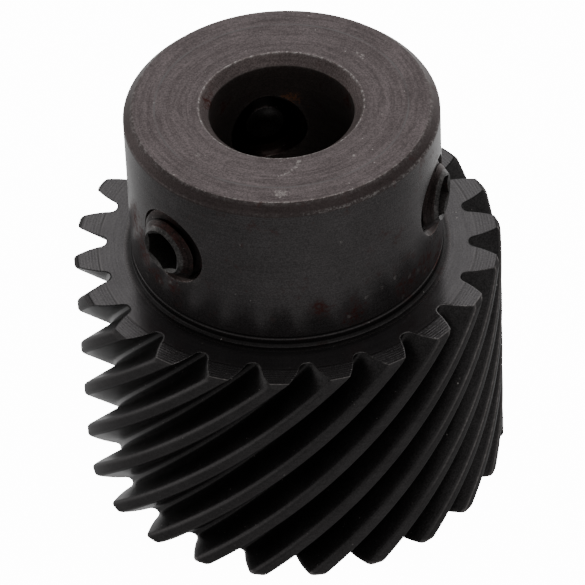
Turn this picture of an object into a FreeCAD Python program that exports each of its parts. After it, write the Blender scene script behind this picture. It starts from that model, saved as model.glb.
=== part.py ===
import FreeCAD, Part

import math
import os

# A steel right-hand helical gear with a long plain hub and three radial set screws.
#
# Frame: origin at the middle of the toothed end face, +Z along the bore towards the hub.
# One set screw lies on the +Y side, and a tooth of the hub-side end face is centred over it.
# Lengths are millimetres and angles are degrees.

# Teeth
TEETH = 22
NORMAL_MODULE = 1.0
NORMAL_PRESSURE_ANGLE = 20.0
HELIX_ANGLE = 45.0
FACE_WIDTH = 20.0
TIP_DIAMETER = 33.0
DEDENDUM = 1.55
ROOT_ROUNDING = 0.40
TIP_END_CHAMFER = 0.3
FLANK_POINTS = 7

# Hub and bore
HUB_DIAMETER = 24.0
HUB_LENGTH = 13.7
HUB_CHAMFER = 0.7
HUB_BASE_FILLET = 0.3
BASE_GROOVE_HEIGHT = 0.75
BASE_GROOVE_WIDTH = 0.24
BASE_GROOVE_DEPTH = 0.12
BORE_DIAMETER = 11.0
BORE_CHAMFER = 0.75

# Set screws: M6 by 6 with a hexagon socket and a cup point
SCREW_ANGLES = {"set_screw_rear": 90.0, "set_screw_left": 210.0, "set_screw_right": 330.0}
SCREW_END_RADIUS = {"set_screw_rear": 12.0, "set_screw_left": 12.85, "set_screw_right": 12.6}
SCREW_DEPTH_BELOW_HUB_END = 6.6
SCREW_DIAMETER = 6.0
SCREW_CLEARANCE = 0.05
SCREW_LENGTH = 6.0
SCREW_END_CHAMFER = 0.9
SCREW_END_CONE_HEIGHT = 0.25
SCREW_POINT_DIAMETER = 3.0
SCREW_POINT_LENGTH = 1.0
SCREW_CUP_DEPTH = 0.5
SOCKET_ACROSS_FLATS = 3.0
SOCKET_MOUTH_RADIUS = 1.8
SOCKET_DEPTH = 2.5
SOCKET_CONE_DEPTH = 0.7
HOLE_COUNTERSINK = 0.15

# How far a cutting shape runs past the metal, and a joined shape into it
OVERRUN = 1.0

# Worked out from the above
HELIX = math.radians(HELIX_ANGLE)
TRANSVERSE_MODULE = NORMAL_MODULE / math.cos(HELIX)
TRANSVERSE_PRESSURE_ANGLE = math.atan(math.tan(math.radians(NORMAL_PRESSURE_ANGLE)) / math.cos(HELIX))
PITCH_RADIUS = TEETH * TRANSVERSE_MODULE / 2.0
BASE_RADIUS = PITCH_RADIUS * math.cos(TRANSVERSE_PRESSURE_ANGLE)
TIP_RADIUS = TIP_DIAMETER / 2.0
ROOT_RADIUS = PITCH_RADIUS - DEDENDUM
LEAD = 2.0 * math.pi * PITCH_RADIUS / math.tan(HELIX)
TOOTH_PITCH_ANGLE = 2.0 * math.pi / TEETH
TWIST = 2.0 * math.pi * FACE_WIDTH / LEAD
HUB_RADIUS = HUB_DIAMETER / 2.0
BORE_RADIUS = BORE_DIAMETER / 2.0
OVERALL_LENGTH = FACE_WIDTH + HUB_LENGTH
SCREW_AXIS_HEIGHT = OVERALL_LENGTH - SCREW_DEPTH_BELOW_HUB_END
SCREW_HOLE_RADIUS = SCREW_DIAMETER / 2.0
SCREW_RADIUS = SCREW_HOLE_RADIUS - SCREW_CLEARANCE

Z_AXIS = FreeCAD.Vector(0, 0, 1)
ORIGIN = FreeCAD.Vector(0, 0, 0)


def polar(radius, angle, height=0.0):
    """A point at a radius and an angle in radians about the bore axis."""
    return FreeCAD.Vector(radius * math.cos(angle), radius * math.sin(angle), height)


def involute_function(angle):
    return math.tan(angle) - angle


def gap_flank():
    """One side of a tooth gap, from its root to the tip circle, as (radius, angle from the gap's middle).

    The root is the path of the rounded corner of a rack cutter, and the flank above it is an involute.
    Also returned is the half angle of the plain root arc between the two sides.
    """
    pressure = TRANSVERSE_PRESSURE_ANGLE
    half_gap_at_pitch = math.pi * TRANSVERSE_MODULE / 4.0
    corner_depth = DEDENDUM - ROOT_ROUNDING
    corner_offset = (half_gap_at_pitch - corner_depth * math.tan(pressure)
                     - ROOT_ROUNDING / math.cos(pressure))
    flank = []
    for step in range(FLANK_POINTS):
        slope = math.pi / 2.0 + (pressure - math.pi / 2.0) * step / (FLANK_POINTS - 1)
        along = corner_depth / math.tan(slope)
        travel = along - corner_offset
        x = along + ROOT_ROUNDING * math.cos(slope)
        y = PITCH_RADIUS - corner_depth - ROOT_ROUNDING * math.sin(slope)
        flank.append((math.hypot(x, y), math.atan2(x, y) - travel / PITCH_RADIUS))
    start_radius = flank[-1][0]
    for step in range(1, FLANK_POINTS):
        radius = start_radius + (TIP_RADIUS - start_radius) * step / (FLANK_POINTS - 1)
        angle = (half_gap_at_pitch / PITCH_RADIUS - involute_function(pressure)
                 + involute_function(math.acos(BASE_RADIUS / radius)))
        flank.append((radius, angle))
    return flank, corner_offset / PITCH_RADIUS


def spline_edge(points):
    curve = Part.BSplineCurve()
    curve.interpolate(points)
    return curve.toShape()


def tooth_outline():
    """The closed outline of all the teeth in the plane of the toothed end face."""
    flank, root_half_angle = gap_flank()
    first_gap = math.pi / 2.0 - TWIST + TOOTH_PITCH_ANGLE / 2.0
    edges = []
    for tooth in range(TEETH):
        middle = first_gap + tooth * TOOTH_PITCH_ANGLE
        falling = [polar(radius, middle - angle) for radius, angle in reversed(flank)]
        rising = [polar(radius, middle + angle) for radius, angle in flank]
        next_middle = middle + TOOTH_PITCH_ANGLE
        tip_start = rising[-1]
        tip_middle = polar(TIP_RADIUS, middle + TOOTH_PITCH_ANGLE / 2.0)
        tip_end = polar(TIP_RADIUS, next_middle - flank[-1][1])
        edges.append(spline_edge(falling))
        edges.append(Part.Arc(falling[-1], polar(flank[0][0], middle), rising[0]).toShape())
        edges.append(spline_edge(rising))
        edges.append(Part.Arc(tip_start, tip_middle, tip_end).toShape())
    return Part.Wire(edges)


def toothed_disc():
    """The outline carried up a helix, as a solid disc with helical teeth."""
    outline = tooth_outline()
    spine = Part.makeHelix(LEAD, FACE_WIDTH, PITCH_RADIUS)
    sweep = Part.BRepOffsetAPI.MakePipeShell(spine)
    sweep.setFrenetMode(True)
    sweep.add(outline)
    sweep.build()
    sweep.makeSolid()
    return sweep.shape()


def revolved(points):
    """A solid turned about Z from the corners of a half section, given as (radius, height)."""
    corners = [FreeCAD.Vector(radius, 0, height) for radius, height in points]
    section = Part.Face(Part.makePolygon(corners + corners[:1]))
    return section.revolve(ORIGIN, Z_AXIS, 360)


def tip_chamfer():
    """The ring of metal turned off the tooth tips at the hub-side end, leaving a 45 degree chamfer."""
    outside = TIP_RADIUS + OVERRUN
    above = FACE_WIDTH + OVERRUN
    return revolved([
        (TIP_RADIUS - TIP_END_CHAMFER - OVERRUN, above),
        (outside, FACE_WIDTH - TIP_END_CHAMFER - OVERRUN),
        (outside, above),
    ])


def hub():
    """The plain hub with its end chamfer and the shallow turned groove near its base."""
    groove_low = FACE_WIDTH + BASE_GROOVE_HEIGHT - BASE_GROOVE_WIDTH / 2.0
    groove_high = groove_low + BASE_GROOVE_WIDTH
    groove_middle = FACE_WIDTH + BASE_GROOVE_HEIGHT
    return revolved([
        (0, FACE_WIDTH - OVERRUN),
        (HUB_RADIUS, FACE_WIDTH - OVERRUN),
        (HUB_RADIUS, groove_low),
        (HUB_RADIUS - BASE_GROOVE_DEPTH, groove_middle),
        (HUB_RADIUS, groove_high),
        (HUB_RADIUS, OVERALL_LENGTH - HUB_CHAMFER),
        (HUB_RADIUS - HUB_CHAMFER, OVERALL_LENGTH),
        (0, OVERALL_LENGTH),
    ])


def base_fillet():
    """The small hollow fillet between the hub and the toothed part's end face."""
    outer = HUB_RADIUS + HUB_BASE_FILLET
    top = FACE_WIDTH + HUB_BASE_FILLET
    inside = HUB_RADIUS - HUB_BASE_FILLET
    below = FACE_WIDTH - HUB_BASE_FILLET
    slack = HUB_BASE_FILLET * (1.0 - math.sqrt(0.5))
    arc = Part.Arc(
        FreeCAD.Vector(outer, 0, FACE_WIDTH),
        FreeCAD.Vector(HUB_RADIUS + slack, 0, FACE_WIDTH + slack),
        FreeCAD.Vector(HUB_RADIUS, 0, top),
    ).toShape()
    rest = Part.makePolygon([
        FreeCAD.Vector(HUB_RADIUS, 0, top),
        FreeCAD.Vector(inside, 0, top),
        FreeCAD.Vector(inside, 0, below),
        FreeCAD.Vector(outer, 0, below),
        FreeCAD.Vector(outer, 0, FACE_WIDTH),
    ])
    section = Part.Face(Part.Wire([arc] + rest.Edges))
    return section.revolve(ORIGIN, Z_AXIS, 360)


def bore():
    """The through bore, opened to a 45 degree chamfer at both ends."""
    mouth = BORE_RADIUS + BORE_CHAMFER + OVERRUN
    return revolved([
        (0, -OVERRUN),
        (mouth, -OVERRUN),
        (BORE_RADIUS, BORE_CHAMFER),
        (BORE_RADIUS, OVERALL_LENGTH - BORE_CHAMFER),
        (mouth, OVERALL_LENGTH + OVERRUN),
        (0, OVERALL_LENGTH + OVERRUN),
    ])


def place_on_hub(shape, angle):
    """Turn a shape made along +Z so that it points out of the hub at an angle about the bore."""
    shape.rotate(ORIGIN, FreeCAD.Vector(0, 1, 0), 90)
    shape.rotate(ORIGIN, Z_AXIS, angle)
    shape.translate(FreeCAD.Vector(0, 0, SCREW_AXIS_HEIGHT))
    return shape


def screw_hole():
    """A screw hole from the bore to outside the hub, with its rim broken by a small countersink."""
    start = BORE_RADIUS / 2.0
    rim = HUB_RADIUS - HOLE_COUNTERSINK
    outside = HUB_RADIUS + OVERRUN
    return revolved([
        (0, start),
        (SCREW_HOLE_RADIUS, start),
        (SCREW_HOLE_RADIUS, rim),
        (SCREW_HOLE_RADIUS + outside - rim, outside),
        (0, outside),
    ])


def set_screw(end_radius):
    """An M6 set screw along +Z: its socket end at end_radius from the bore axis, its cup point inwards.

    The socket end rises from a 45 degree chamfer in a low cone to the mouth of the socket.
    """
    point = end_radius - SCREW_LENGTH
    point_radius = SCREW_POINT_DIAMETER / 2.0
    shoulder = end_radius - SCREW_END_CONE_HEIGHT
    body = revolved([
        (0, point + SCREW_CUP_DEPTH),
        (point_radius, point),
        (SCREW_RADIUS, point + SCREW_POINT_LENGTH),
        (SCREW_RADIUS, shoulder - SCREW_END_CHAMFER),
        (SCREW_RADIUS - SCREW_END_CHAMFER, shoulder),
        (SOCKET_MOUTH_RADIUS, end_radius),
        (0, end_radius),
    ])
    corner_radius = SOCKET_ACROSS_FLATS / math.sqrt(3.0)
    floor = end_radius - SOCKET_DEPTH
    corners = [polar(corner_radius, math.radians(60.0 * side), floor) for side in range(6)]
    hexagon = Part.Face(Part.makePolygon(corners + corners[:1]))
    socket = hexagon.extrude(FreeCAD.Vector(0, 0, SOCKET_DEPTH + OVERRUN))
    drill_point = Part.makeCone(0, SOCKET_ACROSS_FLATS / 2.0, SOCKET_CONE_DEPTH,
                                FreeCAD.Vector(0, 0, floor - SOCKET_CONE_DEPTH))
    return body.cut(socket).cut(drill_point)


def gear_body():
    """The gear and its hub, turned and cut from one bar."""
    teeth = toothed_disc().cut(tip_chamfer())
    body = teeth.fuse(hub()).fuse(base_fillet()).removeSplitter()
    body = body.cut(bore())
    for angle in SCREW_ANGLES.values():
        body = body.cut(place_on_hub(screw_hole(), angle))
    return body


def main():
    os.makedirs("parts", exist_ok=True)
    shapes = {"gear_body": gear_body()}
    for name, angle in SCREW_ANGLES.items():
        shapes[name] = place_on_hub(set_screw(SCREW_END_RADIUS[name]), angle)
    for name, shape in shapes.items():
        solids = shape.Solids
        print(name, "solids", len(solids), "valid", shape.isValid(), "faces", len(shape.Faces),
              "volume", round(shape.Volume, 2), "box", shape.BoundBox)
        solids[0].exportStep(os.path.join("parts", name + ".step"))


main()
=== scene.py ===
import math

import bmesh
import bpy
import numpy as np
from mathutils import Matrix, Vector


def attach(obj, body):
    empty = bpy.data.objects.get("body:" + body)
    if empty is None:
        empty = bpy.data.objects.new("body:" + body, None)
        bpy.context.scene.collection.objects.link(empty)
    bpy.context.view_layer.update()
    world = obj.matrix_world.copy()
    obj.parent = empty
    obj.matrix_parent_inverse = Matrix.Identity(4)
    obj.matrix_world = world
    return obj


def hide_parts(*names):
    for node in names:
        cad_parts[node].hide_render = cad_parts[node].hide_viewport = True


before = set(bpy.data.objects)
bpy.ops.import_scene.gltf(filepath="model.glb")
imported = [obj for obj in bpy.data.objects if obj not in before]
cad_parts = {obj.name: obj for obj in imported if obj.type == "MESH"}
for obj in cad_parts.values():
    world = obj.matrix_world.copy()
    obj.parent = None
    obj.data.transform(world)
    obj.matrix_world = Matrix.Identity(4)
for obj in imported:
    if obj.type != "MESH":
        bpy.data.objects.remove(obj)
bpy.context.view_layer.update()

# The looks of a steel helical gear with a plain hub and three set screws.
# Meshes are built in millimetres in the frame's axes and turned into metres at the end.

MM = 0.001

# Gear teeth. Radii, heights and lengths are in millimetres here and below.
TEETH = 22
HELIX = math.radians(45.0)
NORMAL_MODULE = 1.0
MODULE = NORMAL_MODULE / math.cos(HELIX)
PRESSURE = math.atan(math.tan(math.radians(20.0)) / math.cos(HELIX))
PITCH_R = TEETH * MODULE / 2.0
BASE_R = PITCH_R * math.cos(PRESSURE)
TIP_R = 16.495
DEDENDUM = 1.55
ROOT_ROUNDING = 0.40
FACE = 20.0
TWIST = FACE * math.tan(HELIX) / PITCH_R
TOOTH_ANGLE = 2.0 * math.pi / TEETH
FIRST_GAP = math.pi / 2.0 - TWIST + TOOTH_ANGLE / 2.0
TIP_CORNER = 0.32
TIP_END_CHAMFER = 0.3
TOOTH_EDGE = 0.05
# Rows of points up the teeth, steps along half a tooth's outline, and the border of its end faces
TOOTH_ROWS = 36
EDGE_ROW, CHAMFER_ROW, EVEN_ROWS_FROM = 0.3, 0.12, 0.6
ROOT_STEPS, FLANK_STEPS, LAND_STEPS = 10, 9, 6
ROOT_ARC_POINTS = 7
END_BORDER, TIP_BORDER = 0.13, 0.14

# Hub and bore
HUB_R = 12.0
TOP = 33.699
HUB_CHAMFER = 0.7
BASE_FILLET = 0.3
GROOVE_Z, GROOVE_HALF, GROOVE_DEPTH = 20.75, 0.12, 0.12
BORE_R = 5.5
BORE_CHAMFER = 0.75
EDGE, EDGE_STEPS = 0.07, 4
HUB_COLUMNS = 240
BORE_COLUMNS = 96
HUB_ROWS = (21.2, 22.0, 31.6, 32.3, 32.7)
BORE_ROWS = (1.1, 3.0, 6.0, 9.0, 12.0, 15.0, 18.0, 21.0, 31.6, 32.5)
TOP_RADII = (11.0, 10.4, 9.6, 8.8, 8.0, 7.2, 6.8)
BOTTOM_RADII = (7.0, 10.0, 13.2)

# Screw holes and screws
SCREW_Z = 27.1
HOLE_ANGLES = {"rear": 90.0, "left": 210.0, "right": 330.0}
SCREW_END = {"rear": 12.0, "left": 12.85, "right": 12.6}
AROUND = 96
PATCH_COLUMNS = 12
PATCH_HALF_HEIGHT = 3.77
RIM_R = 3.12
PITCH = 1.0
THREAD_START = 0.76
ROWS_PER_PITCH = 12
THREAD_DEPTH = 0.541
CORNER_GAP = 0.03
SCREW_R = 2.95
HOLE_THREAD_R = 3.01
SCREW_LENGTH = 6.0
SCREW_CHAMFER = 0.9
END_CONE = 0.25
POINT_R, POINT_LENGTH, CUP_DEPTH = 1.5, 1.0, 0.5
SOCKET_HALF, SOCKET_DEPTH, SOCKET_CONE, SOCKET_MOUTH_R = 1.5, 2.5, 0.7, 1.78

ANGLES = 2.0 * math.pi * np.arange(AROUND) / AROUND

# Wear across a tooth's corner, whose bare steel is partly a painted highlight. Then how bare some edges
# are,
# as (positions, amounts): the tooth corners towards the right, where the bare steel is partly a painted
# highlight, the tooth ends, bare towards the front and darker towards the back, and the hub's shoulder on
# both sides of an angle.
CORNER_WEAR_AND_HIGHLIGHT = [0.0, 0.1, 1.0, 0.1, 0.0]
CORNERS_BARE_AND_HIGHLIGHTED = (11.0, 15.5), (0.04, 1.0)
ENDS_BARE = (-10.0, -5.0), (1.0, -1.0)
SHOULDER_BARE = (30.0, 45.0), (1.0, 0.2)
SHOULDER_BARE_AT = 305.0

SHARP_ANGLE = math.radians(36.0)

# Colours, and how metallic the steel is
METALLIC = 0.85
RUST = (0.100, 0.038, 0.033)
BARE_STEEL_AND_HIGHLIGHT = (0.42, 0.39, 0.38)
SPECK = (0.45, 0.42, 0.40)
ORANGE_RUST = (0.85, 0.36, 0.16)


class Piece:
    """The points and faces of one closed mesh.

    Each point says how worn it is and what light is painted on it, from -1 where it is darkest, which in
    corners and recesses is painted shade, to 1 on a bare edge, which on the tooth corners is partly a
    painted highlight.
    """

    def __init__(self, name, zones):
        self.name = name
        self.zones = zones
        self.points, self.wear, self.faces, self.face_zones = [], [], [], []

    def loop(self, points, wear=0.0):
        first = len(self.points)
        self.points.extend(tuple(p) for p in points)
        self.wear.extend(np.broadcast_to(wear, len(points)).tolist())
        return list(range(first, len(self.points)))

    def face(self, corners, zone):
        kept = [c for c, before in zip(corners, corners[-1:] + corners[:-1]) if c != before]
        if len(set(kept)) > 2:
            self.faces.append(kept)
            self.face_zones.append(self.zones.index(zone))

    def band(self, one, two, zone):
        """Quads between two closed rings of equal length."""
        for k in range(len(one)):
            n = (k + 1) % len(one)
            self.face([one[k], one[n], two[n], two[k]], zone)

    def join(self, one, two, zone):
        """Triangles between two closed rings about Z that have different numbers of points."""
        def turns(ring):
            angle = np.unwrap([math.atan2(self.points[i][1], self.points[i][0]) for i in ring])
            return angle - 2.0 * math.pi * round(angle[0] / (2.0 * math.pi))

        a, b = turns(one), turns(two)
        shift = int(np.argmin(np.abs(np.exp(1j * b) - np.exp(1j * a[0]))))
        two = two[shift:] + two[:shift]
        b = np.concatenate([b[shift:], b[:shift] + 2.0 * math.pi])
        b -= 2.0 * math.pi * round((b[0] - a[0]) / (2.0 * math.pi))
        a, b = np.append(a, a[0] + 2.0 * math.pi), np.append(b, b[0] + 2.0 * math.pi)
        i = j = 0
        while i < len(one) or j < len(two):
            left, right = one[i % len(one)], two[j % len(two)]
            if j >= len(two) or (i < len(one) and a[i + 1] + a[i] <= b[j + 1] + b[j]):
                i += 1
                self.face([left, one[i % len(one)], right], zone)
            else:
                j += 1
                self.face([left, two[j % len(two)], right], zone)

    def build(self, materials, body, node, slot):
        """Make the object, which rides on its body in place of its CAD node."""
        mesh = bpy.data.meshes.new(self.name)
        mesh.from_pydata([Vector(p) * MM for p in self.points], [], self.faces)
        for zone in self.zones:
            mesh.materials.append(materials[zone])
        mesh.polygons.foreach_set("material_index", self.face_zones)
        mesh.attributes.new("wear", "FLOAT", "POINT").data.foreach_set("value", self.wear)
        work = bmesh.new()
        work.from_mesh(mesh)
        bmesh.ops.recalc_face_normals(work, faces=work.faces)
        work.to_mesh(mesh)
        work.free()
        mesh.shade_smooth()
        mesh.set_sharp_from_angle(angle=SHARP_ANGLE)
        piece = bpy.data.objects.new(self.name, mesh)
        bpy.context.scene.collection.objects.link(piece)
        weighted = piece.modifiers.new("weighted_normals", "WEIGHTED_NORMAL")
        weighted.keep_sharp = True
        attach(piece, body)
        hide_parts(node)


def involute(angle):
    return math.tan(angle) - angle


def bend(before, corner, after, size, steps):
    """Points that round a corner between two neighbours, starting and ending at a distance size from it."""
    before, corner, after = (np.array(p, float) for p in (before, corner, after))
    start = corner + (before - corner) / np.linalg.norm(before - corner) * size
    end = corner + (after - corner) / np.linalg.norm(after - corner) * size
    share = np.linspace(0.0, 1.0, steps)[:, None]
    return (1 - share) ** 2 * start + 2 * share * (1 - share) * corner + share ** 2 * end


def half_tooth():
    """The outline from the middle of a gap, on the Y axis, to the middle of the next tooth.

    Returned are its points (x, y), their wear and painted highlight, and how many come before the tooth's
    rounded corner.
    """
    half_gap = math.pi * MODULE / 4.0
    corner_depth = DEDENDUM - ROOT_ROUNDING
    corner_offset = half_gap - corner_depth * math.tan(PRESSURE) - ROOT_ROUNDING / math.cos(PRESSURE)
    polar = [(PITCH_R - DEDENDUM, 0.0), (PITCH_R - DEDENDUM, corner_offset / PITCH_R * 0.5)]
    for slope in np.linspace(math.pi / 2.0, PRESSURE, ROOT_STEPS):
        along = corner_depth / math.tan(slope)
        x = along + ROOT_ROUNDING * math.cos(slope)
        y = PITCH_R - corner_depth - ROOT_ROUNDING * math.sin(slope)
        polar.append((math.hypot(x, y), math.atan2(x, y) - (along - corner_offset) / PITCH_R))
    start = polar[-1][0]
    for radius in np.linspace(start, TIP_R, FLANK_STEPS)[1:]:
        angle = half_gap / PITCH_R - involute(PRESSURE) + involute(math.acos(BASE_R / radius))
        polar.append((radius, angle))
    points = [np.array([r * math.sin(a), r * math.cos(a)]) for r, a in polar]
    tip_start, tip_middle = polar[-1][1], TOOTH_ANGLE / 2.0
    land = [np.array([TIP_R * math.sin(a), TIP_R * math.cos(a)])
            for a in np.linspace(tip_start, tip_middle, LAND_STEPS)[1:]]
    corner = bend(points[-2], points[-1], land[0], TIP_CORNER, len(CORNER_WEAR_AND_HIGHLIGHT))
    # Points that the rounded corner replaces, or that lie too close to it, are left out
    flank, flat = ([p for p in side if np.linalg.norm(p - points[-1]) > 1.1 * TIP_CORNER]
                   for side in (points, land))
    worn_and_painted_light = [0.0] * len(flank) + CORNER_WEAR_AND_HIGHLIGHT + [0.0] * len(flat)
    return np.array(flank + list(corner) + flat), worn_and_painted_light, len(flank)


def tooth_outline():
    """All the teeth in the plane of the toothed end face: points, wear and painted highlight, zones and
    points per tooth.
    """
    half, worn_and_painted_light, flank_count = half_tooth()
    radius, angle = np.hypot(half[:, 0], half[:, 1]), np.arctan2(half[:, 0], half[:, 1])
    radius = np.concatenate([radius, radius[-2:0:-1]])
    angle = np.concatenate([angle, TOOTH_ANGLE - angle[-2:0:-1]])
    worn_and_painted_light = np.concatenate([worn_and_painted_light, worn_and_painted_light[-2:0:-1]])
    per_tooth = len(radius)
    zones = ["tip" if flank_count <= min(k, per_tooth - k - 1) else "flank" for k in range(per_tooth)]
    turn = FIRST_GAP + np.arange(TEETH)[:, None] * TOOTH_ANGLE + angle[None, :]
    points = np.stack([radius * np.cos(turn), radius * np.sin(turn)], -1).reshape(-1, 2)
    return points, np.tile(worn_and_painted_light, TEETH), zones * TEETH, per_tooth


def inset(outline, distance):
    """The outline moved into the metal."""
    along = np.roll(outline, -1, 0) - np.roll(outline, 1, 0)
    along /= np.linalg.norm(along, axis=1)[:, None]
    return outline - np.stack([along[:, 1], -along[:, 0]], -1) * distance


def turned(points, angle, z, limit):
    """Points turned about Z and lifted to z, with none of them further out than the limit."""
    points = points * np.minimum(1.0, limit / np.hypot(points[:, 0], points[:, 1]))[:, None]
    c, s = math.cos(angle), math.sin(angle)
    x, y = points[:, 0] * c - points[:, 1] * s, points[:, 0] * s + points[:, 1] * c
    return np.stack([x, y, np.full(len(x), z)], -1)


def circle(radius, z, columns):
    angle = 2.0 * math.pi * np.arange(columns) / columns
    return np.stack([radius * np.cos(angle), radius * np.sin(angle), np.full(columns, z)], -1)


def teeth(piece):
    """The toothed wall and the toothed parts of both end faces. Returns the inner ring of each end face."""
    outline, worn_and_painted_light, zones, per_tooth = tooth_outline()
    rounding = [(TOOTH_EDGE * (1.0 - math.sin(a)), TOOTH_EDGE * (1.0 - math.cos(a)))
                for a in (0.0, math.pi / 4.0)]
    chamfer_start = FACE - TIP_END_CHAMFER
    rows = [(depth, z) for depth, z in rounding]
    rows += [(0.0, z) for z in (TOOTH_EDGE, EDGE_ROW)]
    rows += [(0.0, z) for z in np.linspace(EVEN_ROWS_FROM, FACE - EVEN_ROWS_FROM, TOOTH_ROWS)]
    rows += [(0.0, z) for z in (chamfer_start, chamfer_start + CHAMFER_ROW, FACE - TOOTH_EDGE)]
    rows += [(depth, FACE - z) for depth, z in reversed(rounding)]
    loops = []
    for depth, z in rows:
        at_end = min(z, FACE - z) <= TOOTH_EDGE
        limit = TIP_R - max(0.0, z - chamfer_start)
        row = turned(inset(outline, depth), TWIST * z / FACE, z, limit)
        # Bare steel on the tooth corners, stronger towards the right: partly wear, partly a painted
        # highlight.
        corner_wear = worn_and_painted_light * np.interp(row[:, 0] - 0.3 * row[:, 1], *CORNERS_BARE_AND_HIGHLIGHTED)
        loops.append(piece.loop(row, np.interp(row[:, 1], *ENDS_BARE) if at_end else corner_wear))
    for low, high in zip(loops, loops[1:]):
        for k, zone in enumerate(zones):
            n = (k + 1) % len(low)
            piece.face([low[k], low[n], high[n], high[k]], zone)
    rings = []
    for rim, z in ((loops[0], 0.0), (loops[-1], FACE)):
        limit = TIP_R - TIP_BORDER - (TIP_END_CHAMFER if z > 0.0 else 0.0)
        inner = piece.loop(turned(inset(outline, END_BORDER), TWIST * z / FACE, z, limit))
        piece.band(rim, inner, "end_face")
        ring = []
        for first in range(0, len(inner), per_tooth):
            after = first + per_tooth
            for k in range(ROOT_ARC_POINTS, per_tooth // 2):
                corners = (first + k, first + k + 1, after - k - 1, after - k)
                piece.face([inner[c] for c in corners], "end_face")
            ring += inner[first:first + ROOT_ARC_POINTS + 1] + inner[after - ROOT_ARC_POINTS:after]
        rings.append(ring)
    return rings


def hole_frame(angle):
    """Unit vectors outwards along a screw hole's axis, and level across it."""
    angle = math.radians(angle)
    return (np.array([math.cos(angle), math.sin(angle), 0.0]),
            np.array([-math.sin(angle), math.cos(angle), 0.0]))


def on_wall(radius, along, height, angle):
    """Points on a round wall from their distance along its surface and their height over the screw axis."""
    turn = math.radians(angle) + along / radius
    return np.stack([radius * np.cos(turn), radius * np.sin(turn), SCREW_Z + height], -1)


def drilled_wall(piece, radius, columns, heights, rim_radius, zone):
    """A round wall with the three screw holes let into it. Returns its end rings and each hole's rim."""
    side = PATCH_COLUMNS
    step = 2.0 * math.pi / columns
    patch_rows = np.linspace(SCREW_Z - PATCH_HALF_HEIGHT, SCREW_Z + PATCH_HALF_HEIGHT, 2 * side + 1)
    rows = [z for z in heights if z < patch_rows[0]] + list(patch_rows)
    rows += [z for z in heights if z > patch_rows[-1]]
    first_patch_row = len([z for z in heights if z < patch_rows[0]])
    centres = {name: round(math.radians(a) / step) for name, a in HOLE_ANGLES.items()}

    def from_hole(column):
        half = columns // 2
        return min(abs((column - m + half) % columns - half) for m in centres.values())

    grid = {}
    for j, z in enumerate(rows):
        for c in range(columns):
            if not (from_hole(c) < side and 0 < j - first_patch_row < 2 * side):
                angle = c * step
                grid[j, c] = piece.loop([(radius * math.cos(angle), radius * math.sin(angle), z)])[0]
    for j in range(len(rows) - 1):
        for c in range(columns):
            if not (from_hole(c + 0.5) < side and 0 <= j - first_patch_row < 2 * side):
                n = (c + 1) % columns
                piece.face([grid[j, c], grid[j, n], grid[j + 1, n], grid[j + 1, c]], zone)
    rims = {}
    for name, angle in HOLE_ANGLES.items():
        path = [(side, k) for k in range(side)] + [(k, side) for k in range(side, -side, -1)]
        path += [(-side, k) for k in range(side, -side, -1)] + [(k, -side) for k in range(-side, side)]
        path += [(side, k) for k in range(-side, 0)]
        outer = [grid[first_patch_row + side + v, (centres[name] + u) % columns] for u, v in path]
        square = np.array([(u * step * radius, v * PATCH_HALF_HEIGHT / side) for u, v in path])
        rim = np.stack([radius * np.arcsin(rim_radius * np.cos(ANGLES) / radius),
                        rim_radius * np.sin(ANGLES)], -1)
        loops = []
        for share, wear in ((0.0, 1.0), (0.10, 0.5), (0.28, 0.0), (0.60, 0.0)):
            flat = rim + (square - rim) * share
            loops.append(piece.loop(on_wall(radius, flat[:, 0], flat[:, 1], angle), wear))
        loops.append(outer)
        for one, two in zip(loops, loops[1:]):
            piece.band(one, two, zone)
        rims[name] = loops[0]
    low = [grid[0, c] for c in range(columns)]
    high = [grid[len(rows) - 1, c] for c in range(columns)]
    return low, high, rims


def thread(position, crest_radius):
    """Radius of a 60 degree thread at a position along its axis."""
    away = np.abs((position / PITCH + THREAD_START + 0.5) % 1.0 - 0.5) * PITCH
    radius = crest_radius + (PITCH / 16.0 - away) * math.sqrt(3.0)
    return np.clip(radius, crest_radius - THREAD_DEPTH * PITCH, crest_radius)


def threaded_wall(piece, angle, low_loop, high_loop, low, high, radius_at, zone, wear_at):
    """A wall about a screw axis whose rows follow the thread, between two rings that are already there."""
    out, along = hole_frame(angle)
    lead = PITCH * ANGLES / (2.0 * math.pi)
    step = PITCH / ROWS_PER_PITCH
    start = float(np.min(low)) - PITCH
    count = int(math.ceil((float(np.max(high)) + PITCH - start) / step)) + 1
    ids = []
    for j in range(count):
        s = start + j * step + lead
        radius = radius_at(s)
        points = (out[None] * s[:, None] + along[None] * (radius * np.cos(ANGLES))[:, None]
                  + np.array([0.0, 0.0, 1.0])[None] * (radius * np.sin(ANGLES) + SCREW_Z)[:, None])
        row = []
        for k in range(AROUND):
            if s[k] <= low[k] + 0.35 * step:
                row.append(low_loop[k])
            elif s[k] >= high[k] - 0.35 * step:
                row.append(high_loop[k])
            else:
                row.append(piece.loop([points[k]], wear_at(s[k], radius[k]))[0])
        ids.append(row)
    for j in range(count - 1):
        for k in range(AROUND):
            if k + 1 < AROUND:
                piece.face([ids[j][k], ids[j][k + 1], ids[j + 1][k + 1], ids[j + 1][k]], zone)
            else:
                a, b = min(j + ROWS_PER_PITCH, count - 1), min(j + 1 + ROWS_PER_PITCH, count - 1)
                piece.face([ids[j][k], ids[a][0], ids[b][0], ids[j + 1][k]], zone)


def lathe(piece, profile, columns, zone, ring):
    """A turned wall from a ring through (radius, height, wear and painted light) corners. Returns its last
    ring.
    """
    for radius, z, wear in profile:
        row = piece.loop(circle(radius, z, columns), wear)
        piece.band(ring, row, zone)
        ring = row
    return ring


def rounded(before, corner, after, wear=1.0):
    """The corners of a small rounding, for lathe."""
    return [(r, z, wear) for r, z in bend(before, corner, after, EDGE, EDGE_STEPS)]


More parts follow.
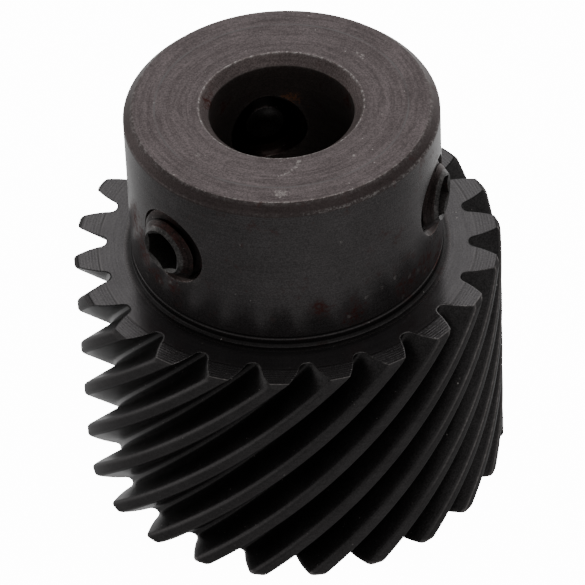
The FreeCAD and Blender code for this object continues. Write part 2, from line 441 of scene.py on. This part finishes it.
def gear():
    """The gear and its hub, in one piece."""
    zones = ["flank", "tip", "end_face", "hub_side", "hub_top", "chamfer", "bore", "bore_chamfer", "hole"]
    piece = Piece("gear_and_hub", zones)
    bottom_ring, top_ring = teeth(piece)

    # Hub wall, from the fillet on the toothed part's face up to the end chamfer
    low, high, hub_rims = drilled_wall(piece, HUB_R, HUB_COLUMNS, HUB_ROWS, RIM_R, "hub_side")
    # The fillet and the groove at the hub's foot get values below 0, which darken them: painted shade.
    fillet = [(HUB_R + BASE_FILLET * (1.0 - math.sin(a)), FACE + BASE_FILLET * (1.0 - math.cos(a)), -0.8)
              for a in np.linspace(0.0, math.pi / 2.0, 7)]
    groove = [(HUB_R, 20.5, -0.3), (HUB_R, GROOVE_Z - GROOVE_HALF, 0.0),
              (HUB_R - GROOVE_DEPTH, GROOVE_Z - 0.02, -1.0), (HUB_R - GROOVE_DEPTH, GROOVE_Z + 0.02, -1.0),
              (HUB_R, GROOVE_Z + GROOVE_HALF, -0.5), (HUB_R, GROOVE_Z + 2.0 * GROOVE_HALF, 0.0)]
    # The end face darkens slightly towards the hub's foot: painted shade.
    face_start = piece.loop(circle(13.25, FACE, HUB_COLUMNS))
    face_edge = lathe(piece, [(12.6, FACE, -0.15)], HUB_COLUMNS, "end_face", face_start)
    piece.join(top_ring, face_start, "end_face")
    wall_start = lathe(piece, fillet + groove, HUB_COLUMNS, "hub_side", face_edge)
    piece.band(wall_start, low, "hub_side")
    shoulder, lip = (HUB_R, TOP - HUB_CHAMFER), (HUB_R - HUB_CHAMFER, TOP)
    away = np.abs(360.0 * np.arange(HUB_COLUMNS) / HUB_COLUMNS - SHOULDER_BARE_AT)
    wall_end = lathe(piece, [(HUB_R, TOP - HUB_CHAMFER - 0.2, 0.0)], HUB_COLUMNS, "hub_side", high)
    chamfer = rounded((HUB_R, 0.0), shoulder, lip, np.interp(away, *SHOULDER_BARE))
    chamfer += [(HUB_R - 0.16, TOP - HUB_CHAMFER + 0.16, 0.0), (HUB_R - 0.45, TOP - 0.25, 0.0)]
    chamfer += rounded(shoulder, lip, (BORE_R + BORE_CHAMFER, TOP), 0.45)
    chamfer_end = lathe(piece, chamfer, HUB_COLUMNS, "chamfer", wall_end)
    top_rows = [(r, TOP, 0.0) for r in TOP_RADII]
    top_end = lathe(piece, top_rows, HUB_COLUMNS, "hub_top", chamfer_end)

    # Bore, with its chamfers at both ends
    bore_low, bore_high, bore_rims = drilled_wall(
        piece, BORE_R, BORE_COLUMNS, BORE_ROWS, HOLE_THREAD_R, "bore")
    for ring, sign, end, face in ((bore_high, 1.0, TOP, "hub_top"), (bore_low, -1.0, 0.0, "end_face")):
        lip = (BORE_R + BORE_CHAMFER, end)
        edge = (BORE_R, end - sign * BORE_CHAMFER)
        wall = lathe(piece, rounded((BORE_R, TOP / 2.0), edge, lip, 0.3), BORE_COLUMNS, "bore", ring)
        cone = [(BORE_R + share, end - sign * (BORE_CHAMFER - share), 0.0) for share in (0.12, 0.4, 0.64)]
        wall = lathe(piece, cone + rounded(edge, lip, (HUB_R, end)), BORE_COLUMNS, "bore_chamfer", wall)
        border = [(BORE_R + 0.87, end, 0.0), (BORE_R + 1.0, end, 0.0)]
        wall = lathe(piece, border, BORE_COLUMNS, face, wall)
        if face == "hub_top":
            piece.join(top_end, wall, face)
        else:
            middle = piece.loop(circle(BOTTOM_RADII[0], end, HUB_COLUMNS))
            wide = lathe(piece, [(r, end, 0.0) for r in BOTTOM_RADII[1:]], HUB_COLUMNS, face, middle)
            piece.join(middle, wall, face)
            piece.join(bottom_ring, wide, face)

    # Screw holes: a thread from rim to rim, opened by a countersink at each end
    for name, angle in HOLE_ANGLES.items():
        low = np.sqrt(BORE_R ** 2 - (HOLE_THREAD_R * np.cos(ANGLES)) ** 2)
        high = np.sqrt(HUB_R ** 2 - (RIM_R * np.cos(ANGLES)) ** 2)

        def radius_at(s, low=low, high=high):
            wall = thread(s - PITCH * ANGLES / (2.0 * math.pi), HOLE_THREAD_R)
            return np.maximum(wall, np.maximum(RIM_R - (high - s), HOLE_THREAD_R - (s - low)))

        # Every hole wall gets -0.6, which darkens it: painted shade in the recess.
        threaded_wall(piece, angle, bore_rims[name], hub_rims[name], low, high, radius_at, "hole",
                      lambda s, radius: -0.6)
    return piece


def set_screw(side):
    """A socket set screw with its thread, hexagon socket and cup point."""
    piece = Piece("set_screw_" + side + "_threaded", ["ring", "thread", "socket"])
    angle, end = HOLE_ANGLES[side], SCREW_END[side]
    out, along = hole_frame(angle)

    def ring(radius, s, wear=0.0):
        points = (out[None] * np.broadcast_to(s, AROUND)[:, None]
                  + along[None] * (radius * np.cos(ANGLES))[:, None]
                  + np.array([0.0, 0.0, 1.0])[None] * (radius * np.sin(ANGLES) + SCREW_Z)[:, None])
        return piece.loop(points, wear)

    point, point_edge = end - SCREW_LENGTH, end - SCREW_LENGTH + CORNER_GAP
    face_r = SCREW_R - SCREW_CHAMFER
    shoulder = end - END_CONE - CORNER_GAP
    edge_out, edge_in = ring(face_r, shoulder, 1.0), ring(face_r - 0.06, shoulder + 0.05, 1.0)
    tip_out, tip_in = ring(POINT_R, point_edge, 1.0), ring(POINT_R - 0.04, point, 1.0)

    def radius_at(s):
        wall = thread(s - PITCH * ANGLES / (2.0 * math.pi), SCREW_R)
        nose = POINT_R + (s - point_edge) * (SCREW_R - POINT_R) / POINT_LENGTH
        head = face_r + (shoulder - s)
        return np.minimum(wall, np.minimum(nose, head))

    # Bare on the thread crests, darker with the depth of the thread grooves: painted shade.
    def wear_at(s, radius):
        depth = min(SCREW_R, face_r + shoulder - s) - radius
        return 0.8 if depth < 0.02 and radius > SCREW_R - 0.02 else -min(1.0, depth / 0.35)

    low, high = np.full(AROUND, point_edge), np.full(AROUND, shoulder)
    threaded_wall(piece, angle, tip_out, edge_out, low, high, radius_at, "thread", wear_at)

    # Socket end
    hexagon = SOCKET_HALF / np.cos((ANGLES + math.pi / 6.0) % (math.pi / 3.0) - math.pi / 6.0)
    mouth = ring(SOCKET_MOUTH_R + 0.03, end - 0.01, 0.5)
    mouth_in = ring(SOCKET_MOUTH_R, end - 0.02, 0.5)
    rim = ring(hexagon, end - 0.5 * (SOCKET_MOUTH_R - hexagon) - CORNER_GAP, 0.3)
    rows = [edge_out, edge_in, mouth, mouth_in, rim]
    for one, two in zip(rows, rows[1:]):
        piece.band(one, two, "ring")
    walls = [rim, ring(hexagon, end - 0.7), ring(hexagon, end - 1.5), ring(hexagon, end - SOCKET_DEPTH)]
    walls.append(ring(SOCKET_HALF, end - SOCKET_DEPTH - 0.02))
    walls.append(ring(SOCKET_HALF * 0.5, end - SOCKET_DEPTH - SOCKET_CONE * 0.5))
    for one, two in zip(walls, walls[1:]):
        piece.band(one, two, "socket")
    floor = piece.loop([out * (end - SOCKET_DEPTH - SOCKET_CONE) + np.array([0.0, 0.0, SCREW_Z])])[0]
    for k in range(AROUND):
        piece.face([walls[-1][k], walls[-1][(k + 1) % AROUND], floor], "socket")

    # Cup point
    cup = [tip_out, tip_in, ring(POINT_R - 0.10, point), ring(POINT_R * 0.6, point + CUP_DEPTH * 0.45)]
    for one, two in zip(cup, cup[1:]):
        piece.band(one, two, "ring")
    hollow = piece.loop([out * (point + CUP_DEPTH) + np.array([0.0, 0.0, SCREW_Z])])[0]
    for k in range(AROUND):
        piece.face([cup[-1][k], cup[-1][(k + 1) % AROUND], hollow], "ring")
    return piece


class Shader:
    """A material's nodes, in short calls. A value may be a number, a colour or another node's output."""

    def __init__(self, name):
        self.material = bpy.data.materials.new(name)
        self.material.use_nodes = True
        self.tree = self.material.node_tree
        self.tree.nodes.clear()

    def node(self, kind, *values, out=0, **settings):
        node = self.tree.nodes.new(kind)
        for name, value in settings.items():
            setattr(node, name, value)
        for target, value in zip(node.inputs, values):
            self.put(target, value)
        return node.outputs[out]

    def put(self, target, value):
        if isinstance(value, bpy.types.NodeSocket):
            self.tree.links.new(value, target)
        else:
            target.default_value = value

    def math(self, operation, *values):
        return self.node("ShaderNodeMath", *values, operation=operation)

    def stretch(self, vector, scale):
        return self.node("ShaderNodeVectorMath", vector, scale, operation="MULTIPLY")

    def scaled(self, colour, factor):
        node = self.tree.nodes.new("ShaderNodeVectorMath")
        node.operation = "SCALE"
        self.put(node.inputs[0], colour)
        self.put(node.inputs["Scale"], factor)
        return node.outputs[0]

    def spots(self, place, wobble, marks):
        """1 inside any of the marks, given as (angle about Z, radius, height, size), and 0 outside them."""
        inside = None
        for angle, radius, height, size in marks:
            a = math.radians(angle)
            centre = (radius * math.cos(a), radius * math.sin(a), height)
            away = self.node("ShaderNodeVectorMath", place, centre, operation="DISTANCE", out=1)
            ragged = self.math("ADD", away, self.math("MULTIPLY", wobble, 3.2 * size))
            mark = self.span(ragged, 1.1 * size, 0.5 * size)
            inside = mark if inside is None else self.math("MAXIMUM", inside, mark)
        return inside

    def noise(self, vector, scale, detail, roughness=0.55):
        node = self.tree.nodes.new("ShaderNodeTexNoise")
        self.put(node.inputs["Vector"], vector)
        node.inputs["Scale"].default_value = scale
        node.inputs["Detail"].default_value = detail
        node.inputs["Roughness"].default_value = roughness
        return node.outputs["Fac"]

    def span(self, value, low, high, to_low=0.0, to_high=1.0):
        """A smooth step from to_low to to_high as the value goes from low to high."""
        return self.node("ShaderNodeMapRange", value, low, high, to_low, to_high,
                         interpolation_type="SMOOTHSTEP")

    def blend(self, share, one, two):
        node = self.tree.nodes.new("ShaderNodeMix")
        node.data_type = "RGBA"
        self.put(node.inputs[0], share)
        self.put(node.inputs[6], one)
        self.put(node.inputs[7], two)
        return node.outputs[2]


def rgb(red, green, blue):
    return (red, green, blue, 1.0)


def steel(name, dark, light, roughness, marks, mark_depth, mark_tone=0.35, streaks=0.0, grain=0.07,
          rust=0.0, wear=0.5, even=0.1, specks=0.4, bright=SPECK, stains=(), nicks=(), lines=(),
          ridges=None, grazing=1.0):
    """Worn steel, between a dark and a light tone.

    marks is the direction of its fine tool marks: rings, turned or rolled. They have a depth and a share of
    the tone, streaks are broader ones, and grain is the strength of a fine dust. wear is how
    far bare metal shows on worn points, bare steel that on the tooth corners is partly a painted highlight,
    and even is how unbroken it is. The points' own values below 0 darken the colour, which in corners and
    recesses is painted shade. specks is the strength of small scattered spots and bright is their colour.
    stains are rust brown and nicks have the specks' colour, each at its given place. lines are rings, as
    (height or radius, half width, shade), and ridges are coarse tool marks, as (first radius, pitch,
    depth). grazing is the tint of the metal seen edge on.
    """
    s = Shader(name)
    place = s.node("ShaderNodeTexCoord", out=3)
    place = s.stretch(place, (1000.0, 1000.0, 1000.0))
    parts = s.tree.nodes.new("ShaderNodeSeparateXYZ")
    s.put(parts.inputs[0], place)
    x, y, z = parts.outputs
    radius = s.math("SQRT", s.math("ADD", s.math("MULTIPLY", x, x), s.math("MULTIPLY", y, y)))
    across = z if marks == "turned" else radius
    if marks == "rolled":
        line_place = s.stretch(place, (1.1, 1.1, 0.5))
    else:
        line_place = s.node("ShaderNodeCombineXYZ", s.math("MULTIPLY", across, 8.0),
                            s.math("MULTIPLY", x, 0.15), s.math("MULTIPLY", y, 0.15))
    grooves = s.noise(line_place, 1.0, 4.0, 0.65)
    patches = s.noise(place, 0.33, 5.0, 0.6)
    fine = s.noise(place, 4.5, 4.0, 0.75)
    dust = s.noise(place, 8.5, 2.0, 0.6)
    tone = s.math("ADD", s.math("MULTIPLY", s.span(grooves, 0.3, 0.7), mark_tone),
                  s.math("MULTIPLY", s.span(patches, 0.3, 0.72), 0.65 - mark_tone))
    tone = s.math("ADD", tone, s.math("MULTIPLY", s.span(fine, 0.25, 0.75), 0.35))
    if streaks > 0.0:
        streak_place = s.node("ShaderNodeCombineXYZ", s.math("MULTIPLY", across, 2.4),
                              s.math("MULTIPLY", x, 0.22), s.math("MULTIPLY", y, 0.22))
        streak = s.span(s.noise(streak_place, 1.0, 5.0, 0.7), 0.3, 0.7, -streaks, streaks)
        tone = s.math("ADD", tone, streak)
    colour = s.blend(tone, rgb(*dark), rgb(*light))
    colour = s.scaled(colour, s.span(dust, 0.34, 0.66, 1.0 - 2.5 * grain, 1.0 + 2.5 * grain))
    rough = s.math("ADD", s.math("MULTIPLY", s.math("SUBTRACT", fine, 0.5), 0.16),
                   s.math("ADD", s.math("MULTIPLY", s.math("SUBTRACT", patches, 0.5), 0.12), roughness))
    height = s.math("ADD", s.math("MULTIPLY", grooves, mark_depth), s.math("MULTIPLY", fine, 0.008))
    if ridges:
        start, pitch, depth = ridges
        beyond = s.span(radius, start - 0.05, start + 0.05)
        wave = s.math("SINE", s.math("MULTIPLY", radius, 2.0 * math.pi / pitch))
        broken = s.span(s.noise(place, 1.6, 4.0, 0.7), 0.38, 0.60, 0.1, 1.0)
        wave = s.math("MULTIPLY", wave, s.math("MULTIPLY", beyond, broken))
        colour = s.scaled(colour, s.math("ADD", s.math("MULTIPLY", wave, 0.17), 0.96))
        height = s.math("ADD", height, s.math("MULTIPLY", wave, depth))
        rough = s.math("ADD", rough, s.math("MULTIPLY", beyond, 0.12))
    for at, half_width, shade in lines:
        share = s.span(s.math("ABSOLUTE", s.math("SUBTRACT", across, at)), half_width, 0.3 * half_width)
        share = s.math("MULTIPLY", share, s.span(patches, 0.36, 0.56, 0.25, 0.85))
        colour = s.blend(share, colour, rgb(shade, 0.93 * shade, 0.93 * shade))
    if rust > 0.0:
        blotches = s.span(s.noise(place, 0.55, 6.0, 0.68), 0.66 - 0.25 * rust, 0.78 - 0.2 * rust)
        blotches = s.math("MULTIPLY", s.math("MULTIPLY", blotches, s.span(fine, 0.3, 0.6)), 0.7)
        if stains:
            stained = s.spots(place, s.math("SUBTRACT", s.noise(place, 0.8, 6.0, 0.75), 0.5), stains)
            broken = s.span(s.noise(place, 2.4, 4.0, 0.7), 0.42, 0.60, 0.15, 1.0)
            blotches = s.math("MAXIMUM", blotches, s.math("MULTIPLY", stained, broken))
        colour = s.blend(blotches, colour, rgb(*RUST))
        rough = s.math("ADD", rough, s.math("MULTIPLY", blotches, 0.2))
    attribute = s.tree.nodes.new("ShaderNodeAttribute")
    attribute.attribute_name = "wear"
    worn_and_painted_light = attribute.outputs["Fac"]
    rubbed_and_highlighted = s.math("MULTIPLY", worn_and_painted_light, s.span(s.noise(place, 3.2, 3.0, 0.8), 0.46, 0.64, even, 1.0))
    rubbed_and_highlighted = s.math("MULTIPLY", rubbed_and_highlighted, wear)
    # Darkened where the values fall below 0: painted shade in the fillet, groove, screw holes and thread
    # roots, and darker tooth end edges towards the back.
    colour = s.scaled(colour, s.span(worn_and_painted_light, -1.0, 0.0, 0.2, 1.0))
    # Bare steel, which on the tooth corners is partly a painted highlight.
    colour = s.blend(rubbed_and_highlighted, colour, rgb(*BARE_STEEL_AND_HIGHLIGHT))
    cells = s.tree.nodes.new("ShaderNodeTexVoronoi")
    s.put(cells.inputs["Vector"], place)
    cells.inputs["Scale"].default_value = 1.9
    dot = s.math("MULTIPLY", s.span(cells.outputs["Distance"], 0.16, 0.08),
                 s.span(s.noise(place, 1.7, 3.0), 0.59, 0.65))
    dot = s.math("MULTIPLY", dot, specks)
    if nicks:
        nicked = s.spots(place, s.math("SUBTRACT", s.noise(place, 4.0, 3.0, 0.7), 0.5), nicks)
        dot = s.math("MAXIMUM", dot, s.math("MULTIPLY", nicked, s.span(fine, 0.35, 0.62, 0.0, 0.55)))
    colour = s.blend(dot, colour, rgb(*bright))
    bump = s.tree.nodes.new("ShaderNodeBump")
    bump.inputs["Strength"].default_value = 0.5
    bump.inputs["Distance"].default_value = 0.001
    s.put(bump.inputs["Height"], height)
    shader = s.tree.nodes.new("ShaderNodeBsdfPrincipled")
    shader.inputs["Metallic"].default_value = METALLIC
    shader.inputs["Specular Tint"].default_value = rgb(grazing, grazing, grazing)
    s.put(shader.inputs["Base Color"], colour)
    s.put(shader.inputs["Roughness"], rough)
    s.put(shader.inputs["Normal"], bump.outputs[0])
    output = s.tree.nodes.new("ShaderNodeOutputMaterial")
    s.put(output.inputs[0], shader.outputs[0])
    return s.material


# Marks on the surfaces, as (angle about Z, radius, height, size)
HUB_STAINS = ((187, 12, 26, 1.9), (192, 12, 24, 1.5), (201, 12, 22.8, 1.0), (211, 12, 23.3, 0.8),
              (268, 12, 23.5, 1.1), (281, 12, 22, 1.0), (306, 12, 22.3, 1.4), (318, 12, 22.6, 1.5),
              (330, 12, 21.4, 1.3))
HUB_NICKS = ((293, 12, 23.5, 0.20), (299, 12, 23.7, 0.20), (307, 12, 22.8, 0.26), (303, 12, 21.3, 0.20),
             (312, 12, 22.5, 0.24), (286, 12, 23.3, 0.17), (279, 12, 22.0, 0.20), (317, 12, 21.7, 0.20),
             (203, 12, 22.7, 0.24), (209, 12, 23.4, 0.20), (194, 12, 21.9, 0.26), (277, 12, 29.6, 0.17))
BORE_STAINS = ((78, 5.5, 29.2, 0.5), (130, 5.5, 31, 0.8), (155, 5.7, 33.2, 0.7), (10, 5.5, 32, 1.0))
BORE_SPOTS = ((69, 5.5, 29.8, 0.7), (72, 5.5, 29.9, 0.5))
TOP_NICKS = ((28, 8.3, 33.7, 0.22), (26, 8.1, 33.7, 0.12), (31, 8.3, 33.7, 0.14), (208, 8.4, 33.7, 0.16),
             (256, 10.3, 33.7, 0.5), (256, 8.2, 33.7, 0.14), (258, 8.1, 33.7, 0.14), (260, 7.9, 33.7, 0.14),
             (262, 7.7, 33.7, 0.14), (264, 7.4, 33.7, 0.15), (266, 7.1, 33.7, 0.17), (267, 6.8, 33.7, 0.2),
             (297, 8.2, 33.7, 0.14))

GEAR_MATERIALS = {
    "flank": steel("steel_flank", (0.038, 0.035, 0.035), (0.070, 0.066, 0.066), 0.33, "rolled", 0.02,
                   grain=0.12, wear=0.3, specks=1.0),
    "tip": steel("steel_tip", (0.055, 0.051, 0.051), (0.096, 0.091, 0.091), 0.42, "turned", 0.015,
                 wear=1.0, even=0.5, grazing=0.6),
    "end_face": steel("steel_end_face", (0.080, 0.075, 0.077), (0.158, 0.150, 0.152), 0.16, "rings", 0.008,
                      wear=0.3, specks=0.7, lines=((14.62, 0.07, 0.05), (14.47, 0.05, 0.16)),
                      ridges=(14.66, 0.23, 0.010)),
    # The hub side's two dark rings near its foot are painted shade standing in for grooves.
    "hub_side": steel("steel_hub_side", (0.082, 0.075, 0.075), (0.145, 0.134, 0.135), 0.29, "turned", 0.008,
                      grain=0.10, rust=0.4, wear=0.3, specks=0.7, stains=HUB_STAINS, nicks=HUB_NICKS,
                      lines=((20.93, 0.06, 0.03), (20.47, 0.06, 0.03))),
    "hub_top": steel("steel_hub_top", (0.086, 0.069, 0.069), (0.162, 0.133, 0.134), 0.33, "rings", 0.012,
                     mark_tone=0.36, streaks=0.34, grain=0.10, wear=0.3, specks=0.7, nicks=TOP_NICKS,
                     lines=((9.6, 0.10, 0.137),)),
    "chamfer": steel("steel_chamfer", (0.070, 0.054, 0.052), (0.115, 0.092, 0.090), 0.38, "rings", 0.010,
                     streaks=0.2, rust=0.3, wear=0.9),
    "bore": steel("steel_bore", (0.115, 0.094, 0.088), (0.20, 0.170, 0.160), 0.5, "turned", 0.012,
                  rust=0.4, stains=BORE_STAINS, nicks=BORE_SPOTS, bright=ORANGE_RUST),
    "bore_chamfer": steel("steel_bore_chamfer", (0.110, 0.085, 0.082), (0.213, 0.174, 0.169), 0.50, "rings",
                          0.010, streaks=0.2, grain=0.12, rust=0.3, wear=1.0, stains=BORE_STAINS),
    "hole": steel("steel_hole", (0.045, 0.031, 0.028), (0.12, 0.085, 0.078), 0.34, "rings", 0.02,
                  mark_tone=0.4, streaks=0.3, rust=0.6),
}
SCREW_MATERIALS = {
    "ring": steel("screw_ring", (0.052, 0.049, 0.047), (0.088, 0.084, 0.082), 0.36, "rolled", 0.01,
                  grain=0.14, specks=0.3, wear=0.3),
    "thread": steel("screw_thread", (0.017, 0.012, 0.011), (0.058, 0.042, 0.040), 0.36, "rings", 0.03,
                    mark_tone=0.5, streaks=0.5, grain=0.16, rust=0.6, wear=0.3),
    "socket": steel("screw_socket", (0.055, 0.050, 0.048), (0.11, 0.100, 0.096), 0.42, "rolled", 0.01,
                    grain=0.14, rust=0.4, wear=0.2),
}

gear().build(GEAR_MATERIALS, "gear", "gear_body", "gear_steel")
for side in HOLE_ANGLES:
    set_screw(side).build(SCREW_MATERIALS, "screw_" + side, "set_screw_" + side, "screw_steel")


# Camera: its angles about the gear, how far off it is, how far right and up of the origin it aims, its lens
CAMERA_ELEVATION = math.radians(41.745)
CAMERA_AZIMUTH = math.radians(-12.545)
CAMERA_ROLL = math.radians(-2.570)
CAMERA_DISTANCE = 421.45
AIM_RIGHT, AIM_UP = -0.277, 10.958
LENS, SENSOR = 326.1, 36.0

# The floor's half width and height in metres, and how brightly it shows to the camera
FLOOR_HALF, FLOOR_HEIGHT, FLOOR_GLOW = 3.0, -0.0001, 14.0


def make_camera():
    back = Vector((0.0, -math.cos(CAMERA_ELEVATION), math.sin(CAMERA_ELEVATION)))
    level = Vector((1.0, 0.0, 0.0))
    upright = Vector((0.0, math.sin(CAMERA_ELEVATION), math.cos(CAMERA_ELEVATION)))
    right = level * math.cos(CAMERA_ROLL) + upright * math.sin(CAMERA_ROLL)
    up = upright * math.cos(CAMERA_ROLL) - level * math.sin(CAMERA_ROLL)
    place = right * AIM_RIGHT + up * AIM_UP + back * CAMERA_DISTANCE
    axes = Matrix((right, up, back)).transposed().to_4x4()
    data = bpy.data.cameras.new("camera")
    data.lens, data.sensor_width = LENS, SENSOR
    data.clip_start, data.clip_end = 0.01, 20.0
    camera = bpy.data.objects.new("camera", data)
    bpy.context.scene.collection.objects.link(camera)
    camera.matrix_world = (Matrix.Rotation(CAMERA_AZIMUTH, 4, "Z") @ Matrix.Translation(place * MM) @ axes)
    bpy.context.scene.camera = camera


def make_floor():
    """A plain pale floor, a hair below the gear."""
    mesh = bpy.data.meshes.new("floor")
    signs = ((-1, -1), (1, -1), (1, 1), (-1, 1))
    corners = [(FLOOR_HALF * x, FLOOR_HALF * y, FLOOR_HEIGHT) for x, y in signs]
    mesh.from_pydata(corners, [], [(0, 1, 2, 3)])
    s = Shader("floor_pale")
    shader = s.tree.nodes.new("ShaderNodeBsdfPrincipled")
    shader.inputs["Base Color"].default_value = rgb(0.9, 0.9, 0.9)
    shader.inputs["Roughness"].default_value = 0.9
    shader.inputs["Emission Color"].default_value = rgb(1.0, 1.0, 1.0)
    shader.inputs["Emission Strength"].default_value = FLOOR_GLOW
    output = s.tree.nodes.new("ShaderNodeOutputMaterial")
    s.put(output.inputs[0], shader.outputs[0])
    mesh.materials.append(s.material)
    floor = bpy.data.objects.new("floor", mesh)
    bpy.context.scene.collection.objects.link(floor)
    floor.visible_diffuse = False
    floor.visible_glossy = False


def make_light(name, azimuth, elevation, distance, size, power):
    """A soft square light that faces the middle of the object. Azimuth 0 is in front, 90 at the right."""
    a, e = math.radians(azimuth), math.radians(elevation)
    away = Vector((math.sin(a) * math.cos(e), -math.cos(a) * math.cos(e), math.sin(e)))
    data = bpy.data.lights.new(name, "AREA")
    data.shape = "SQUARE"
    data.size = size
    data.energy = power
    light = bpy.data.objects.new(name, data)
    bpy.context.scene.collection.objects.link(light)
    light.location = Vector((0.0, 0.0, TOP / 2.0 * MM)) + away * distance
    light.rotation_mode = "QUATERNION"
    light.rotation_quaternion = (-away).to_track_quat("-Z", "Y")


def make_world():
    """A soft studio room: bright behind the object, dim in front, with a strip of light low at the left."""
    world = bpy.data.worlds.new("studio")
    world.use_nodes = True
    tree = world.node_tree
    tree.nodes.clear()
    direction = tree.nodes.new("ShaderNodeTexCoord").outputs["Generated"]

    def towards(axis):
        node = tree.nodes.new("ShaderNodeVectorMath")
        node.operation = "DOT_PRODUCT"
        tree.links.new(direction, node.inputs[0])
        node.inputs[1].default_value = axis
        return node.outputs["Value"]

    def math_node(operation, *values):
        node = tree.nodes.new("ShaderNodeMath")
        node.operation = operation
        for value, target in zip(values, node.inputs):
            tree.links.new(value, target)
        return node.outputs[0]

    def step(value, start, end, top):
        """A smooth step from 0 to top as the value goes from start to end."""
        node = tree.nodes.new("ShaderNodeMapRange")
        node.interpolation_type = "SMOOTHSTEP"
        tree.links.new(value, node.inputs["Value"])
        for name, setting in (("From Min", start), ("From Max", end), ("To Min", 0.0), ("To Max", top)):
            node.inputs[name].default_value = setting
        return node.outputs[0]

    def ramp(value, stops, interpolation):
        """Greys at stops from 0 to 1 as the value goes from -1 to 1."""
        span = tree.nodes.new("ShaderNodeMapRange")
        span.inputs["From Min"].default_value = -1.0
        tree.links.new(value, span.inputs["Value"])
        node = tree.nodes.new("ShaderNodeValToRGB")
        tree.links.new(span.outputs[0], node.inputs[0])
        elements = node.color_ramp.elements
        node.color_ramp.interpolation = interpolation
        while len(elements) < len(stops):
            elements.new(0.5)
        for element, (position, grey) in zip(elements, stops):
            element.position = position
            element.color = rgb(grey, grey, grey)
        return node.outputs[0]

    behind = towards((-math.sin(CAMERA_AZIMUTH), math.cos(CAMERA_AZIMUTH), 0.0))
    beside = towards((math.cos(CAMERA_AZIMUTH), math.sin(CAMERA_AZIMUTH), 0.0))
    from_behind = ramp(behind, ((0.12, 0.30), (0.50, 0.36), (0.60, 0.44), (0.71, 0.60), (0.87, 0.92),
                                (1.0, 1.0)), "LINEAR")
    from_sides = ramp(beside, ((0.10, 0.58), (0.58, 1.0), (0.72, 1.0), (0.95, 0.72)), "EASE")
    strip = step(math_node("ABSOLUTE", towards((0.0, 0.0, 1.0))), 0.5, 0.15, 1.2)
    far_left = step(beside, -0.72, -0.92, 1.0)
    background = tree.nodes.new("ShaderNodeBackground")
    tree.links.new(from_behind, background.inputs[0])
    tree.links.new(math_node("MULTIPLY_ADD", strip, far_left, from_sides), background.inputs[1])
    output = tree.nodes.new("ShaderNodeOutputWorld")
    tree.links.new(background.outputs[0], output.inputs[0])
    bpy.context.scene.world = world


make_camera()
make_floor()
make_light("softbox_above", 150.0, 78.0, 0.7, 0.4, 0.8)
make_world()

bpy.context.view_layer.update()
